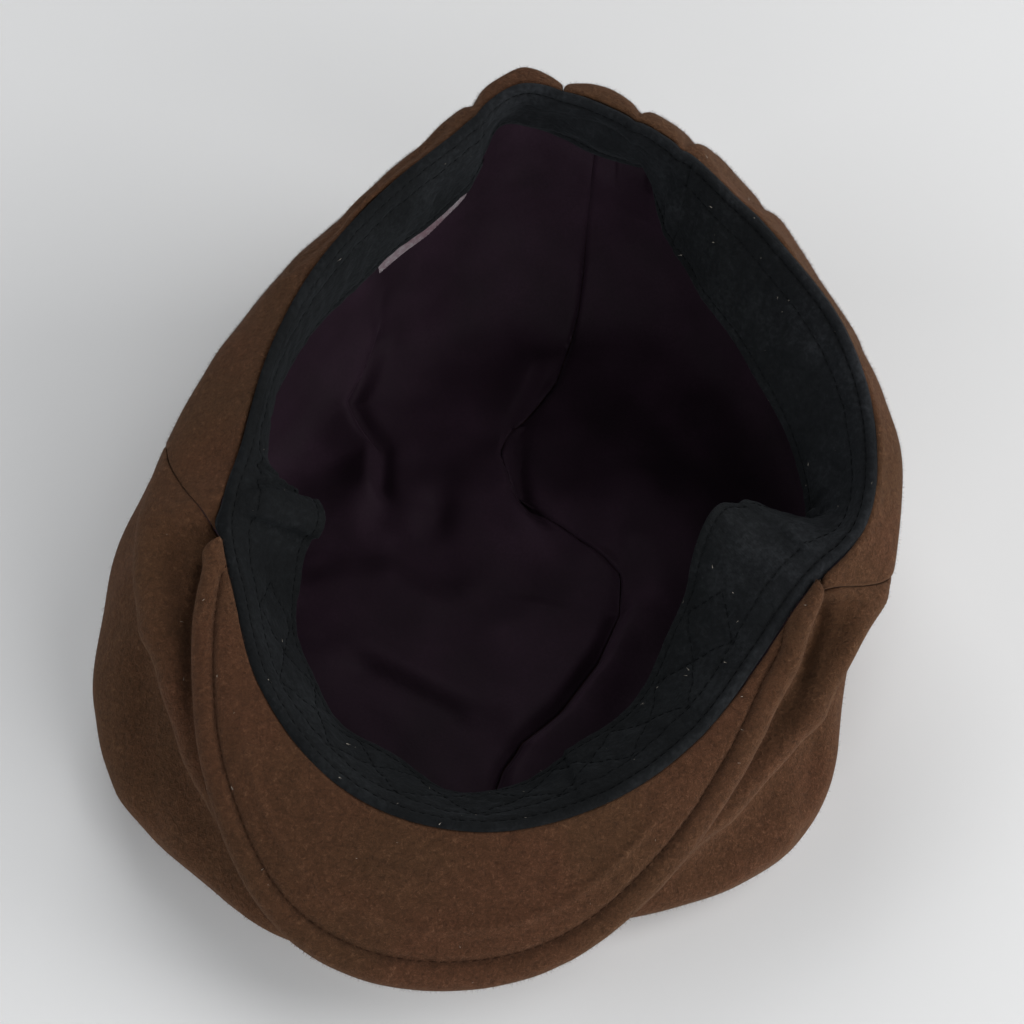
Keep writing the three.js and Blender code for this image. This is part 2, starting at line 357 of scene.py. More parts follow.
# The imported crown's box gives where the cap's own middle lies in the frame.
grid = crown(np.arange(0, 360, 2.0)[:, None], np.arange(0, 4.5, 0.1)[None, :]).reshape(-1, 3)
low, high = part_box("crown_top")
own_middle = (grid.min(0) + grid.max(0)) / 2
SHIFT = np.array([(low.x + high.x) / 2 / MM - own_middle[0], (low.y + high.y) / 2 / MM - own_middle[1], 0])
print("the cap's middle is", np.round(SHIFT, 2), "mm from the frame's origin")

# %% [markdown]
# ## Camera, floor and light
#
# The cap was looked down on from in front at a steep angle. A long lens keeps its proportions. The
# floor is a plain pale sheet. Most of the light comes low from the right and the front right, so the
# right side of the wool is the brightest and the floor darkens on the left. Weaker lamps at the other
# sides keep the shadows open. The room is dark, so the hollow goes nearly black.

# %% Camera
CAMERA = {"azimuth": 9, "elevation": 55, "distance": 655, "view_angle": 24}
aim = Vector((SHIFT[0] - 5, SHIFT[1], 50)) * MM
turn = math.radians(CAMERA["azimuth"])
lift = math.radians(CAMERA["elevation"])
back = Vector((math.sin(turn) * math.cos(lift), -math.cos(turn) * math.cos(lift), math.sin(lift)))
lens = bpy.data.cameras.new("camera")
lens.sensor_width = 36
lens.lens = lens.sensor_width / 2 / math.tan(math.radians(CAMERA["view_angle"] / 2))
lens.clip_start = 0.01
camera = put_in("camera", lens)
camera.location = aim + back * CAMERA["distance"] * MM
camera.rotation_mode = "QUATERNION"
camera.rotation_quaternion = back.to_track_quat("Z", "Y")
bpy.context.scene.camera = camera
bpy.context.scene.view_settings.view_transform = "Standard"
print("the lens is", round(lens.lens, 1), "mm long")


# %% Lamps and surroundings
LAMP_DISTANCE = 1.5
LAMP_SIZE = 0.9


def lamp(name, azimuth, elevation, power, colour):
    """A soft square lamp that faces the cap, at an azimuth that counts from +X towards +Y."""
    around, up = math.radians(azimuth), math.radians(elevation)
    way = Vector((math.cos(around) * math.cos(up), math.sin(around) * math.cos(up), math.sin(up)))
    place = aim + way * LAMP_DISTANCE
    light = bpy.data.lights.new(name, "AREA")
    light.size = LAMP_SIZE
    light.energy = power
    light.color = colour
    made = put_in(name, light)
    made.location = place
    made.rotation_mode = "QUATERNION"
    made.rotation_quaternion = (-way).to_track_quat("-Z", "Y")
    return made


lamp("right", 4, 18, 13.8, (1.0, 0.985, 0.97))
lamp("front right", -45, 18, 9.8, (1.0, 0.985, 0.97))
lamp("front", -90, 18, 7.8, (0.98, 0.99, 1.0))
lamp("left", -158, 26, 6.4, (0.98, 0.99, 1.0))
lamp("back", 107, 35, 9.2, (1.0, 0.995, 0.99))
lamp("above right", 5, 52, 6.0, (1.0, 0.99, 0.985))
world = bpy.data.worlds.new("room")
world.use_nodes = True
world.node_tree.nodes["Background"].inputs["Color"].default_value = (0.93, 0.96, 1.0, 1)
world.node_tree.nodes["Background"].inputs["Strength"].default_value = 0.02
bpy.context.scene.world = world
print("six soft lamps in a dark room")

# %% [markdown]
# ## A way to write materials
#
# A shader is a graph of nodes, and its sums are easier to read as Python. The class below wraps a
# socket: adding or multiplying two of them adds a Math node. Every other node comes from `node`.


# %% Wires between nodes
class Wire:
    """A node tree and one output in it. Sums and products of wires add Math nodes to the tree."""

    def __init__(self, tree, socket=None):
        self.tree = tree
        self.socket = socket

    def node(self, kind, settings=None, values=None, out=0):
        """Adds a node: its settings first, then the values or wires of its sockets."""
        made = self.tree.nodes.new(kind)
        for name, value in (settings or {}).items():
            if name == "stops":
                ramp = made.color_ramp.elements
                while len(ramp) < len(value):
                    ramp.new(0.5)
                for element, (position, colour) in zip(ramp, value):
                    element.position = position
                    element.color = (*colour, 1)
            else:
                setattr(made, name, value)
        for place, value in (values or {}).items():
            if isinstance(value, Wire):
                self.tree.links.new(value.socket, made.inputs[place])
            else:
                made.inputs[place].default_value = value
        return Wire(self.tree, made.outputs[out] if made.outputs else None)

    def place(self):
        """Where a point lies in its object, in metres."""
        return self.node("ShaderNodeTexCoord", out="Object")

    def times(self, other):
        """This colour multiplied by another."""
        values = {0: 1.0, 6: self, 7: other}
        return self.node("ShaderNodeMix", {"data_type": "RGBA", "blend_type": "MULTIPLY"}, values, out=2)

    def with_painted_groove_shade(self, strength):
        """This colour with painted shade: darker where the piece's groove attribute is high."""
        groove = self.node("ShaderNodeAttribute", {"attribute_name": "groove"}, out=2)
        dark = (1 - strength, 1 - strength, 1 - strength, 1)
        return self.times(groove.mix((1, 1, 1, 1), dark))

    def part(self, axis):
        """One number of this vector: X, Y or Z."""
        return self.node("ShaderNodeSeparateXYZ", {}, {"Vector": self}, out="XYZ".index(axis))

    def clamped(self):
        return self.maths("MINIMUM", self, 1.0)

    def maths(self, operation, *values):
        return self.node("ShaderNodeMath", {"operation": operation}, dict(enumerate(values)))

    def __add__(self, other):
        return self.maths("ADD", self, other)

    __radd__ = __add__

    def __mul__(self, other):
        return self.maths("MULTIPLY", self, other)

    __rmul__ = __mul__

    def __sub__(self, other):
        return self.maths("SUBTRACT", self, other)

    def __rsub__(self, other):
        return self.maths("SUBTRACT", other, self)

    def __pow__(self, power):
        return self.maths("POWER", self, power)

    def noise(self, size, detail=2.0, roughness=0.5, distortion=0.0):
        """Noise on this vector whose patches are about size metres across."""
        values = {"Vector": self, "Scale": 0.5 / size, "Detail": detail}
        values.update({"Roughness": roughness, "Distortion": distortion})
        return self.node("ShaderNodeTexNoise", {}, values)

    def ramp(self, *stops):
        """Colours along this value, as (place, (red, green, blue)) stops."""
        return self.node("ShaderNodeValToRGB", {"stops": stops}, {0: self})

    def step(self, start, end):
        """0 below start and 1 above end."""
        return self.node("ShaderNodeMapRange", {}, {0: self, 1: start, 2: end})

    def mix(self, low, high):
        """From colour low to colour high as this value goes from 0 to 1."""
        values = {0: self, 6: low, 7: high}
        return self.node("ShaderNodeMix", {"data_type": "RGBA"}, values, out=2)


def cloth_material(name, look):
    """A material whose graph is drawn by look(wire), which gives the Principled sockets."""
    material = bpy.data.materials.new(name)
    material.use_nodes = True
    tree = material.node_tree
    tree.nodes.clear()
    wire = Wire(tree)
    shader = wire.node("ShaderNodeBsdfPrincipled", {}, look(wire))
    wire.node("ShaderNodeOutputMaterial", {}, {"Surface": shader})
    return material


def bumps(wire, *layers):
    """Bump nodes in a row. Each layer is a height wire and how many metres it stands at most."""
    normal = {}
    for height, distance in layers:
        values = {"Height": height, "Distance": distance, "Strength": 1.0, **normal}
        normal = {"Normal": wire.node("ShaderNodeBump", {}, values)}
    return normal["Normal"]


print("materials are written as sums of wires")

# %% [markdown]
# ## Cloth as a closed sheet
#
# Every panel is a grid of points for the side that shows, and a coarser grid behind it at the cloth's
# thickness. The two are sewn together along their border. A Solidify modifier could do this, but it
# would double every face, and the back never needs them. Where an edge is turned in at a seam or a
# hem, the face rolls down in a quarter circle, so the edge is round and not cut.


# %% Grids of points
def normals(points, ring):
    """Unit normals of a grid, from its neighbours: down the rows crossed with along the columns."""
    if ring:
        wide = np.concatenate([points[:, -1:], points, points[:, :1]], 1)
        along_u = wide[:, 2:] - wide[:, :-2]
    else:
        along_u = np.gradient(points, axis=1)
    along_v = np.gradient(points, axis=0)
    out = np.cross(along_v, along_u)
    return out / np.maximum(np.linalg.norm(out, axis=-1, keepdims=True), 1e-9)


def waves(points, size, seed, count=14):
    """Smooth noise from -1 to 1: plane waves about size long in seeded directions."""
    draw = np.random.default_rng(seed)
    total = np.zeros(points.shape[:-1])
    for _ in range(count):
        way = draw.normal(size=3)
        way *= 2 * math.pi / size / np.linalg.norm(way) * draw.uniform(0.75, 1.35)
        total += np.sin(points @ way + draw.uniform(0, 2 * math.pi))
    return total / math.sqrt(count / 2) / 1.6


def rolled(distance, radius):
    """How deep a turned edge lies at a distance from it, for a roll of that radius."""
    short = np.clip(radius - distance, 0, radius)
    return radius - np.sqrt(np.maximum(radius**2 - short**2, 0))


def border(rows, columns, ring):
    """The grid's border as a list of places in it, all the way round."""
    top = [(0, i) for i in range(columns)]
    if ring:
        return top
    right = [(j, columns - 1) for j in range(1, rows)]
    bottom = [(rows - 1, i) for i in range(columns - 2, -1, -1)]
    left = [(j, 0) for j in range(rows - 2, 0, -1)]
    return top + right + bottom + left


def cell_faces(rows, columns, ring, pole):
    """The faces of one grid. A pole closes the last row in one point, the grid's last."""
    wide = columns if ring else columns - 1
    deep = rows - 2 if pole else rows - 1
    j, i = (x.ravel() for x in np.meshgrid(np.arange(deep), np.arange(wide), indexing="ij"))
    nxt = (i + 1) % columns
    quads = np.stack([j * columns + i, (j + 1) * columns + i, (j + 1) * columns + nxt, j * columns + nxt], 1)
    faces = quads.tolist()
    if pole:
        tip = (rows - 1) * columns
        last = (rows - 2) * columns
        faces += [[last + k, tip, last + (k + 1) % columns] for k in range(wide)]
    return faces


def flatten(points, pole):
    """The grid as a list of points, with a pole's row as one point."""
    if not pole:
        return points.reshape(-1, 3)
    return np.concatenate([points[:-1].reshape(-1, 3), points[-1:, 0]])


pieces = {}
fronts = {}


def solid(name, points, faces, material):
    """A smooth mesh object in the frame, from points in the cap's own millimetres."""
    mesh = bpy.data.meshes.new(name)
    mesh.from_pydata(((points + SHIFT) * MM).tolist(), [], faces)
    mesh.materials.append(material)
    mesh.shade_smooth()
    made = put_in(name, mesh)
    pieces[name] = made
    return made


def cloth(name, face, thickness, material, facing=1, ring=False, pole=False, back_rise=None, shade=None):
    """A closed sheet. face is the grid that shows, and facing is -1 where its normals point behind it.

    shade is how deep each point lies in a stitched groove; the cloth's colour reads it as painted shade
    there.
    """
    out = normals(face, ring) * facing
    if pole:
        out[-1] = (0, 0, -facing)
    depth = thickness if back_rise is None else (thickness - back_rise)[..., None]
    behind = (face - out * depth)[::2, ::2]
    rows, columns = face.shape[:2]
    back_rows, back_columns = behind.shape[:2]
    front = flatten(face, pole)
    faces = cell_faces(rows, columns, ring, pole)
    fronts[name] = (front, [f[::facing] for f in faces])
    start = len(front)
    faces += [[start + k for k in reversed(f)] for f in cell_faces(back_rows, back_columns, ring, pole)]
    fine = [j * columns + i for j, i in border(rows, columns, ring)]
    coarse = [start + j * back_columns + i for j, i in border(back_rows, back_columns, ring)]
    for k, here in enumerate(coarse):
        after = coarse[(k + 1) % len(coarse)]
        a, b, c = (fine[(2 * k + step) % len(fine)] for step in range(3))
        faces += [[a, b, here], [b, after, here], [b, c, after]]
    if facing < 0:
        faces = [f[::-1] for f in faces]
    made = solid(name, np.concatenate([front, flatten(behind, pole)]), faces, material)
    # Each point's groove value is painted shade, which darkens the cloth's colour in its stitched grooves.
    painted_groove_shade = made.data.attributes.new("groove", "FLOAT", "POINT")
    if shade is not None:
        values = np.zeros(len(made.data.vertices))
        values[:len(front)] = shade.ravel()
        painted_groove_shade.data.foreach_set("value", values)
    return made


EDGE_STEPS = np.array([0, 0.15, 0.5, 1.0, 1.6, 2.3])


def places(length, count, power=1.0, both=True):
    """Row places from 0 to length, close together at a turned edge."""
    near = EDGE_STEPS * min(1, 0.4 * length / EDGE_STEPS[-1])
    far = length - near[::-1] if both else np.array([length])
    inner = count - len(near) - len(far) + 1
    spread = near[-1] + (far[0] - near[-1]) * (np.arange(1, inner) / inner) ** power
    return np.concatenate([near, spread, far])


def column_levels(bearings, start, end, count, power=1.0, both=True):
    """For each bearing, count + 1 levels from start to end at measured lengths, and those lengths."""
    levels, lengths = [], []
    for bearing, first, last in zip(bearings, start, end):
        fine = np.linspace(first, last, 120)
        line = crown(bearing, fine)
        run = np.concatenate([[0], np.cumsum(np.linalg.norm(np.diff(line, axis=0), axis=1))])
        where = places(run[-1], count, power, both)
        levels.append(np.interp(where, run, fine))
        lengths.append(where)
    return np.array(levels).T, np.array(lengths).T


print("sheets are sewn from a fine face and a coarse back")

# %% [markdown]
# ## The wool
#
# Melton is woven, then shrunk and brushed until its threads vanish under a short nap. Close up it is
# mottled: darker where the nap parts, lighter at the tips, with a few pale hairs. The colour comes
# from noise at four sizes and the height from the finest three. Sheen gives the pale glow that a nap
# shows at a glancing angle. A photograph of cloth would stretch over the folds, and noise doesn't.


# %% Wool cloth
def wool_look(wire):
    place = wire.place()
    patches = place.noise(0.018, 2.0)
    clumps = place.noise(0.0016, 3.0, 0.6)
    tufts = place.noise(0.0006, 2.0, 0.6, 0.6)
    hairs = place.noise(0.0003, 2.0, 0.7, 1.5)
    shade = clumps * 0.17 + tufts * 0.37 + hairs * 0.46
    colour = shade.ramp(
        (0.35, (0.031, 0.0126, 0.0053)),
        (0.47, (0.052, 0.0220, 0.0096)),
        (0.57, (0.072, 0.0310, 0.0143)),
        (0.68, (0.135, 0.0680, 0.0365)),
    )
    warm = patches.step(0.40, 0.64).mix((0.96, 1.0, 0.96, 1), (1.05, 0.98, 1.0, 1))
    # The base colour takes painted shade from the groove attribute, along the peak's stitched groove.
    return {
        "Base Color": colour.times(warm).with_painted_groove_shade(0.6),
        "Roughness": 0.95,
        "Specular IOR Level": 0.15,
        "Sheen Weight": 0.14,
        "Sheen Roughness": 0.6,
        "Sheen Tint": (0.80, 0.50, 0.33, 1),
        "Normal": bumps(wire, (clumps, 0.0006), (tufts, 0.0005), (hairs, 0.0004)),
    }


WOOL_CLOTH = cloth_material("wool_melton", wool_look)
print("wool:", len(WOOL_CLOTH.node_tree.nodes), "nodes")

# %% [markdown]
# The top panel covers the front under the peak and the whole crown that meets the ground. The side
# panels fill the back of the wall from temple to temple. Small dents come from seeded waves, and a few
# creases are placed where the cloth has been pinched.

# %% Dents and creases in the wool
# Each crease runs between two points of the surface, given as bearings and levels.
CREASES = named(
    "bearing level to_bearing to_level depth width",
    [
        (238, 0.9, 246, 1.35, 0.9, 2.2),
        (229, 1.2, 236, 1.7, 0.6, 3.0),
        (262, 1.5, 276, 2.2, 0.8, 4.0),
        (84, 1.3, 78, 2.2, 0.9, 3.0),
        (66, 2.2, 52, 2.9, 1.2, 4.0),
        (300, 2.3, 318, 2.9, 1.2, 5.0),
        (330, 3.1, 312, 3.3, 0.8, 4.0),
        (150, 1.2, 153, 2.2, 0.8, 3.0),
        (206, 1.2, 203, 2.3, 0.9, 3.0),
        (80, 1.0, 60, 1.0, -1.6, 5.0),
        (60, 1.0, 40, 1.0, -1.8, 5.0),
        (76, 0.5, 56, 0.45, 0.9, 4.0),
        (56, 0.45, 38, 0.6, 1.0, 4.0),
        (284, 1.0, 300, 1.0, -1.4, 5.0),
        (300, 1.0, 320, 1.0, -1.4, 5.0),
        (288, 0.5, 304, 0.5, 1.4, 4.5),
        (203, 0.6, 221, 0.62, 1.3, 1.9),
        (221, 0.62, 238, 0.75, 1.5, 2.0),
    ],
)


# Beside these stretches of the peak's edge the wool is pulled in under the peak, which leaves a dark line.
PEAK_TUCKS = [np.arange(-68, -42, 2.0), np.arange(56, 76, 2.0)]
TUCK_WIDTH = 2.0
TUCK_DEPTH = 2.6


def near_segment(points, start, end):
    """Distance of every point to the segment from start to end."""
    along_it = end - start
    t = np.clip(((points - start) @ along_it) / (along_it @ along_it), 0, 1)
    return np.linalg.norm(points - start - t[..., None] * along_it, axis=-1)


def near_line(points, line):
    """Distance on the ground from every point to a line of points."""
    flat = points[..., :2]
    pairs = zip(line, line[1:])
    return np.min([near_segment(flat, np.array(a, float), np.array(b, float)) for a, b in pairs], axis=0)


def wool_relief(points):
    """How far the wool stands out of the plain surface: soft waves, and creases pressed into it."""
    relief = 0.75 * waves(points, 42, seed=4) + 0.28 * waves(points, 17, seed=9)
    for bearing, level, to_bearing, to_level, depth, width in zip(*CREASES.values()):
        far = near_segment(points, crown(bearing, level), crown(to_bearing, to_level))
        relief -= depth * hill(far, width) - 0.4 * depth * hill(far / width, 2.2)
    for bearings in PEAK_TUCKS:
        radius = along(PEAK_EDGE, "radius", bearings, closed=False)
        line = [tuple(place) for place in at_bearing(bearings, radius, 0)[:, :2]]
        front_end = np.array(line[0] if bearings[0] > 0 else line[-1])
        from_front = np.linalg.norm(points[..., :2] - front_end, axis=-1)
        tuck = smooth(from_front, 1, 18) * hill(near_line(points, line), TUCK_WIDTH)
        tuck = tuck * smooth(points[..., 2], 30, 44)
        relief -= TUCK_DEPTH * tuck
    return relief


def wool_panel(bearings, levels, edge_distance, ring=False):
    """The showing face of a wool panel: the crown with its dents, rolled in at its edges."""
    plain = crown(bearings, levels)
    out = normals(plain, ring)
    if ring:
        out[-1] = (0, 0, -1)
    calm = smooth(plain[..., 2], 0.5, 9)
    face = plain + out * (wool_relief(plain) * calm - rolled(edge_distance, SEAM_ROLL))[..., None]
    face[..., 2] = np.maximum(face[..., 2], 0.02)
    return face


# %% The three wool panels
WALL_RADIUS = 95
TEMPLE_GAP = 0.9
BACK_GAP = 0.05


def crown_top():
    across, down = 500, 132
    bearings = np.arange(across) * 360 / across
    seam = seam_level(bearings)
    seam_gap = 0.25
    levels, lengths = column_levels(bearings, seam, np.full(across, float(MIDDLE)), down, 1.3, both=False)
    start = np.where(seam > 0, seam_gap, 0)
    face = wool_panel(bearings[None, :], levels, lengths + start, ring=True)
    return cloth("top_panel", face, WOOL, WOOL_CLOTH, ring=True, pole=True)


def side_panel(name, seam):
    across, down = 200, 60
    toward_back = np.sign(seam["level"] - seam["temple"])
    temple = seam["temple"] + TEMPLE_GAP * toward_back
    middle = BACK_SEAM - BACK_GAP * toward_back
    run = math.radians(abs(middle - temple)) * WALL_RADIUS
    share = places(run, across) / run
    bearings = temple + share * (middle - temple)
    edge_u = np.minimum(share, 1 - share) * run
    if toward_back < 0:
        bearings, edge_u = bearings[::-1], edge_u[::-1]
    levels, lengths = column_levels(bearings, np.zeros(across + 1), seam_level(bearings), down)
    edge_v = np.minimum(lengths, lengths[-1:] - lengths)
    face = wool_panel(bearings[None, :], levels, np.minimum(edge_v, edge_u[None, :]))
    return cloth(name, face, WOOL, WOOL_CLOTH)


crown_top()
side_panel("side_right", RIGHT_SEAM)
side_panel("side_left", LEFT_SEAM)
print({name: len(piece.data.polygons) for name, piece in pieces.items()})

# %% [markdown]
# ## The peak
#
# Two layers of wool cover a stiff card. They are sewn along the outer edge, turned, and stitched again
# about 7 mm inside it, which draws a groove. The card's edge shows as a faint ridge further in.


# %% Peak
STITCH_INSET = 7.4
CARD_INSET = 15.5
# About how many millimetres one degree of bearing is near the peak's ends.
PEAK_DEGREE = 1.5


def peak_plain(bearing, v):
    outer = along(PEAK_EDGE, "radius", bearing, closed=False)
    inner = np.minimum(rim(bearing) + 0.15, outer - 0.8)
    top = along(CUTS, "edgeZ", bearing) - 0.6
    bottom = along(PEAK_EDGE, "height", bearing, closed=False)
    arch = 1.5 * np.sin(math.pi * v)
    return at_bearing(bearing, inner + v * (outer - inner), top + v * (bottom - top) + arch)


def peak_face():
    across, down = 320, 72
    first, last = PEAK_EDGE["bearing"][0], PEAK_EDGE["bearing"][-1]
    reach = PEAK_DEGREE * (last - first)
    bearings = first + (last - first) * places(reach, across) / reach
    width = np.linalg.norm(peak_plain(bearings, 1.0) - peak_plain(bearings, 0.0), axis=-1)
    from_edge = np.array([places(w, down)[::-1] for w in width]).T
    v = 1 - from_edge / width
    plain = peak_plain(bearings[None, :], v)
    out = normals(plain, False)
    ends = np.minimum(bearings - first, last - bearings) * PEAK_DEGREE
    # The narrow ends take the direction of the cloth further in, which keeps their tips round.
    inside = np.where(ends > 16)[0]
    nearest = np.clip(np.arange(across), inside[0], inside[-1])
    out += (out[:, nearest] - out) * (1 - smooth(ends, 6, 16))[None, :, None]
    out /= np.linalg.norm(out, axis=-1, keepdims=True)
    near = np.minimum(from_edge, np.minimum((width - from_edge) * 2.2, ends[None, :]))
    from_row = from_edge - STITCH_INSET
    groove = hill(from_row, 1.0) + 0.4 * hill(from_row, 2.6)
    fade = smooth(width - from_edge, 0.5, 4)
    card = hill(from_edge - CARD_INSET, 1.6) * smooth(width, 22, 30)
    piping = np.sin(math.pi * np.clip(from_edge / STITCH_INSET, 0, 1))
    relief = 0.75 * piping - 0.65 * groove * fade + 0.70 * card
    relief += 0.3 * waves(plain, 30, seed=21) + 0.12 * waves(plain, 9, seed=22)
    half = PEAK / 2 * (0.35 + 0.65 * smooth(ends, 1, 9))[None, :]
    relief *= smooth(ends, 3, 12)
    face = plain + out * (relief - rolled(near, half))[..., None]
    # Painted shade along the stitched groove, which the wool's colour reads through the groove attribute.
    shade = 0.5 * hill(from_row, 0.8) * fade
    return face, from_edge, PEAK - 2 * (half - rolled(near, half)), shade


peak_surface, peak_from_edge, peak_rise, peak_painted_shade = peak_face()
cloth("peak_cover", peak_surface, PEAK, WOOL_CLOTH, back_rise=peak_rise, shade=peak_painted_shade)
print("the peak is", round(float(peak_from_edge[0].max()), 1), "mm deep")

# %% [markdown]
# ## The lining
#
# A loose dark lining follows the crown inside. It is cut larger than the wool, so it lies in soft puffs
# with pinched lines between them. Its two halves meet in a seam that wanders over the bottom. Cloth
# simulation could drop it in, but its folds would fall anywhere. Here each pinch follows a line on the
# cap's bottom, with the cloth raised on both sides of it.

# %% Lining folds
# Pinched lines in the lining, in the cap's own millimetres: the line, how high the cloth stands beside
# it, on its left and on its right as it is listed, how far that reaches, and the pinch's width.
LINING_FOLDS = [
    ([(-1, -72), (1, -55), (5, -46), (14, -34), (22, -17), (26, 0), (25, 12)], 1.5, 6.0, 13, 2.2),
    ([(9, 23), (-2, 28), (-7, 34), (-10, 44), (-12, 60), (-8, 77), (-3, 92)], 5.0, 1.0, 14, 2.4),
    ([(-56, 88), (-61, 74), (-64, 60), (-58, 53), (-51, 46), (-49, 34), (-45, 20)], 1.5, 8.0, 12, 2.4),
    ([(-72, 4), (-55, 9), (-40, 10), (-24, 4), (-10, 2)], 0.5, 5.0, 18, 8.0),
    ([(-36, 40), (-31, 26), (-30, 8)], 1.6, 0.5, 11, 5.0),
    ([(-54, -27), (-34, -35), (-4, -45)], 5.0, 0.5, 9, 4.5),
    ([(40, -46), (46, -32), (48, -16)], 2.5, 0.5, 10, 4.0),
]
# Soft puffs in the lining: where, how high and how wide. The first hangs under the elastic.
LINING_PUFFS = [
    ((8, 111, 66), 10.0, 18),
    ((-58, -20, 6), 3.0, 24),
    ((-30, -52, 6), 3.0, 22),
    ((30, 40, 6), 4.0, 30),
    ((-80, 40, 30), 3.0, 20),
]
# How far the centre seam lies aside at each distance from the front, in the cap's own millimetres.
SEAM_WANDER = [(-90, 0), (-72, -1), (-55, 1), (-46, 5), (-34, 14), (-17, 22), (0, 26), (12, 25)]
SEAM_WANDER += [(24, 9), (34, -9), (46, -16), (60, -14), (80, -4), (104, 0)]


def side_of(points, line):
    """1 on the left of a line and -1 on its right, with a soft change across it."""
    flat = points[..., :2]
    best = np.full(flat.shape[:-1], np.inf)
    side = np.zeros(flat.shape[:-1])
    for a, b in zip(line, line[1:]):
        a, b = np.array(a, float), np.array(b, float)
        way = (b - a) / np.linalg.norm(b - a)
        across = way[0] * (flat[..., 1] - a[1]) - way[1] * (flat[..., 0] - a[0])
        far = near_segment(flat, a, b)
        side = np.where(far < best, np.clip(across / 1.5, -1, 1), side)
        best = np.minimum(best, far)
    return side


def lining_relief(points):
    """How far the lining stands off the wool, which is never below zero."""
    relief = 2.0 + 1.5 * waves(points, 60, seed=31) + 0.7 * waves(points, 28, seed=32)
    relief += 0.18 * waves(points, 12, seed=33)
    for line, left, right, spread, width in LINING_FOLDS:
        far = near_line(points, line)
        side = side_of(points, line)
        raised = (left + right) / 2 + (left - right) / 2 * side
        ends = (line[0], line[-1])
        to_ends = [np.linalg.norm(points[..., :2] - np.array(end, float), axis=-1) for end in ends]
        fade = smooth(np.minimum(*to_ends), 1, 15)
        pinch = hill(far, width) * fade
        relief += raised * hill(far, spread) * fade * (1 - pinch)
        relief *= 1 - 0.75 * pinch
    for place, height, size in LINING_PUFFS:
        far = np.linalg.norm(points - np.array(place, float), axis=-1)
        relief += height * hill(far, size)
    return np.maximum(relief, 0)


def spanned(points, share, rounds=150):
    """The lining cuts the corner at the crown's foot: each line down the grid is smoothed there."""
    slack = points.copy()
    for _ in range(rounds):
        slack[1:-1] = slack[1:-1] * 0.5 + (slack[:-2] + slack[2:]) * 0.25
    return points + (slack - points) * share[..., None]


def wander(points):
    """Moves the bottom of the lining sideways, so that its centre seam wanders."""
    ys, xs = zip(*SEAM_WANDER)
    reach = 78
    share = np.clip(1 - np.abs(points[..., 0]) / reach, 0, 1) ** 2
    points[..., 0] += np.interp(points[..., 1], ys, xs) * share
    return points


# %% The lining's cloth and its halves
def lining_look(wire):
    place = wire.place()
    soft = place.noise(0.012, 3.0)
    threads = place.noise(0.0004, 2.0, 0.6, 0.3)
    colour = (soft * 0.7 + threads * 0.3).ramp(
        (0.35, (0.0138, 0.0072, 0.0122)),
        (0.55, (0.0202, 0.0103, 0.0178)),
        (0.72, (0.0284, 0.0145, 0.0252)),
    )
    return {
        "Base Color": colour,
        "Roughness": 0.62 + 0.2 * soft,
        "Specular IOR Level": 0.12,
        "Sheen Weight": 0.06,
        "Sheen Roughness": 0.45,
        "Sheen Tint": (0.75, 0.5, 0.7, 1),
        "Normal": bumps(wire, (soft, 0.0005), (threads, 0.00006)),
    }


LINING_CLOTH = cloth_material("lining_cloth", lining_look)


def lining_half(name, side):
    across, down = 200, 120
    start = 1.15
    first = 0 if side > 0 else 180
    bearings = first + 180 * np.arange(across + 1) / across
    begin = np.full(across + 1, start)
    stop = np.full(across + 1, float(MIDDLE))
    levels, lengths = column_levels(bearings, begin, stop, down, 1.0, both=False)
    plain = crown(bearings[None, :], levels)
    out = normals(plain, False)
    out[-1] = (0, 0, -1)
    inside = spanned(plain - out * LINING_DEPTH, smooth(levels, 1.9, 3.0))
    seam = np.minimum(np.abs(inside[..., 0]), 4)
    inside = wander(inside)
    out = normals(inside, False)
    out[-1] = (0, 0, -1)
    calm = smooth(lengths, 4, 30)
    face = inside - out * (lining_relief(inside) * calm)[..., None]
    sunk = 0.9 - 0.6 * smooth(inside[..., 2], 12, 40)
    face += out * (sunk * hill(seam, 1.1))[..., None]
    face[..., 0] += side * 0.15
    return cloth(name, face, LINING, LINING_CLOTH, facing=-1)


lining_half("lining_right_half", 1)
lining_half("lining_left_half", -1)
print(len(LINING_FOLDS), "pinched lines and", len(LINING_PUFFS), "puffs in the lining")

# %% [markdown]
# ## The sweatband
#
# A strip of black twill, stiffened and about 31 mm wide, is sewn to the edge of the opening and hangs
# inside it. It is stitched along both edges. At the temples it folds over itself, where the stiff front
# part ends, and behind them it stands close to the wool. At the back an elastic length replaces it.


